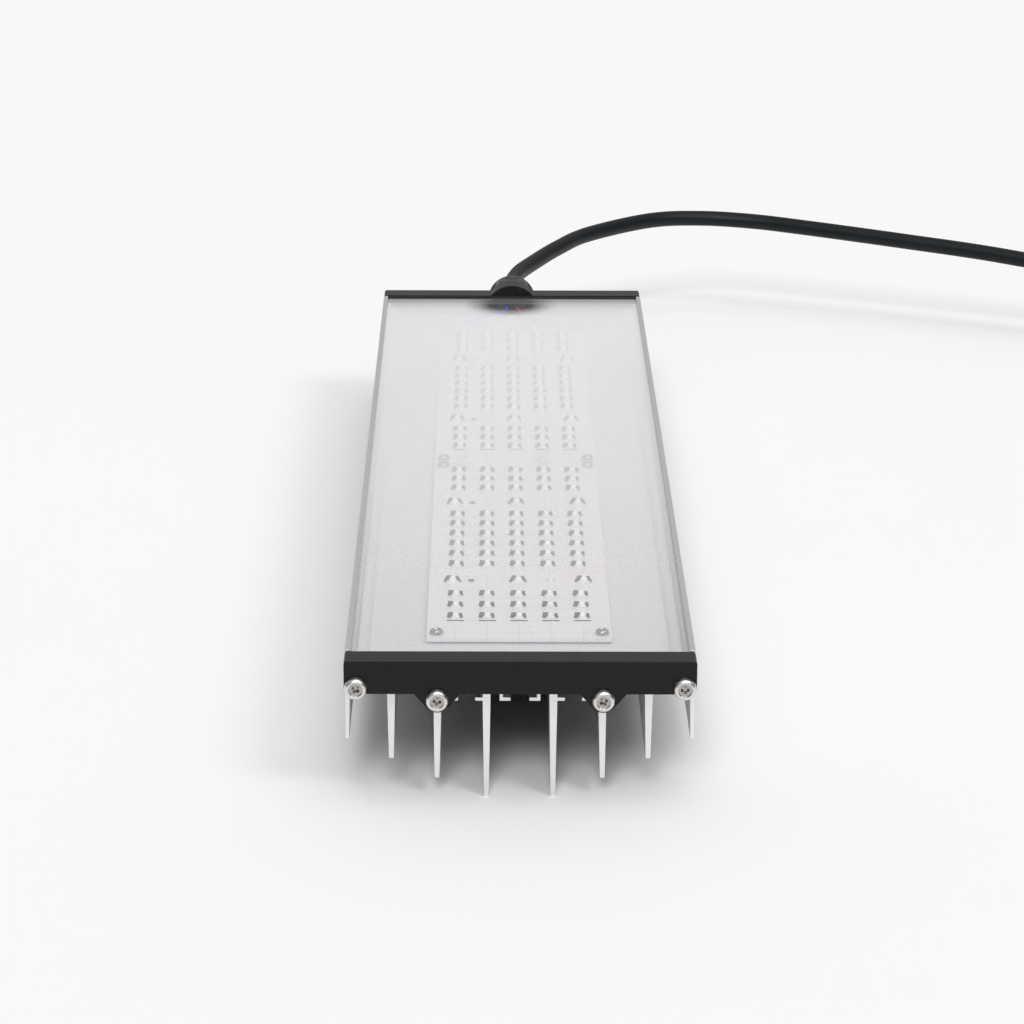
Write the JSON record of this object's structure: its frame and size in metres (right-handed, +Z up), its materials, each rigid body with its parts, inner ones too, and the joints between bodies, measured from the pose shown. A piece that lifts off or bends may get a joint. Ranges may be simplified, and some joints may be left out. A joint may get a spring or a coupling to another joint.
{
  "type": "led grow light",
  "caption": "LED grow light bar: finned aluminium body with T-slots, LED boards under a frosted cover, screwed end caps, cable gland and coiled cable with connector.",
  "frame": {"origin": "on the surface that the middle fins stand on, under the middle of the bar", "axes": "+Y along the bar towards the cable gland, +X to the right of it, +Z up, the way that the light shines"},
  "size_m": [0.5333, 0.808, 0.068],
  "materials": {
    "aluminium": "natural anodised extrusion, satin, with fine die lines along its length and bright cut ends",
    "frosted_cover": "frosted sheet, satin, evenly translucent",
    "seal_grey": "light grey silicone, matt",
    "black_paint": "black powder coat, satin",
    "black_rubber": "black rubber, matt",
    "steel": "bright stainless steel",
    "pad_grey": "grey silicone pad, matt",
    "board_white": "white solder mask, satin",
    "ivory": "ivory plastic, smooth",
    "lead_blue": "blue wire insulation",
    "lead_brown": "brown wire insulation",
    "black_plastic": "black nylon, lightly grained",
    "strap": "black hook-and-loop strap",
    "brass": "plated contact pins"
  },
  "bodies": {
    "root": {"heatsink_body": "aluminium", "diffuser_sheet": "frosted_cover", "side_seal_left": "seal_grey", "side_seal_right": "seal_grey", "end_seal_front": "seal_grey", "end_seal_rear": "seal_grey", "end_cap_front": "black_paint", "end_cap_rear": "black_paint", "gasket_front": "black_rubber", "gasket_rear": "black_rubber", "cap_screw_front_1": "steel", "cap_screw_front_2": "steel", "cap_screw_front_3": "steel", "cap_screw_front_4": "steel", "cap_screw_rear_1": "steel", "cap_screw_rear_2": "steel", "cap_screw_rear_3": "steel", "cap_screw_rear_4": "steel", "thermal_pad_front": "pad_grey", "led_board_front": "board_white", "board_screw_front_1": "steel", "board_screw_front_2": "steel", "board_screw_front_3": "steel", "board_screw_front_4": "steel", "thermal_pad_rear": "pad_grey", "led_board_rear": "board_white", "board_screw_rear_1": "steel", "board_screw_rear_2": "steel", "board_screw_rear_3": "steel", "board_screw_rear_4": "steel", "terminal_front_board_blue": "ivory", "terminal_rear_board_blue": "ivory", "terminal_leads_blue": "ivory", "jumper_blue": "lead_blue", "lead_blue": "lead_blue", "terminal_front_board_brown": "ivory", "terminal_rear_board_brown": "ivory", "terminal_leads_brown": "ivory", "jumper_brown": "lead_brown", "lead_brown": "lead_brown", "gland_body": "black_plastic", "gland_o_ring": "black_rubber", "gland_seal": "black_rubber", "cable_in_gland": "black_rubber", "power_cable": "black_rubber", "cable_coil": "black_rubber", "cable_tail": "black_rubber", "cable_in_connector": "black_rubber", "coil_tie": "strap", "connector_clamp_nut": "black_plastic", "connector_body": "black_plastic", "connector_insert": "ivory", "connector_pin_1": "brass", "connector_pin_2": "brass", "connector_pin_3": "brass"},
    "gland_nut": {"gland_nut": "black_plastic"},
    "connector_ring": {"connector_ring": "black_plastic"}
  },
  "joints": [
    {"name": "gland_nut_turn", "type": "hinge", "parent": "root", "child": "gland_nut", "pos_m": [0, 0.317, 0.0535], "axis": [0, 1, 0], "range_deg": [0, 360]},
    {"name": "connector_ring_turn", "type": "hinge", "parent": "root", "child": "connector_ring", "pos_m": [0.453, 0.108, 0.0108], "axis": [0, 1, 0], "continuous": true}
  ]
}
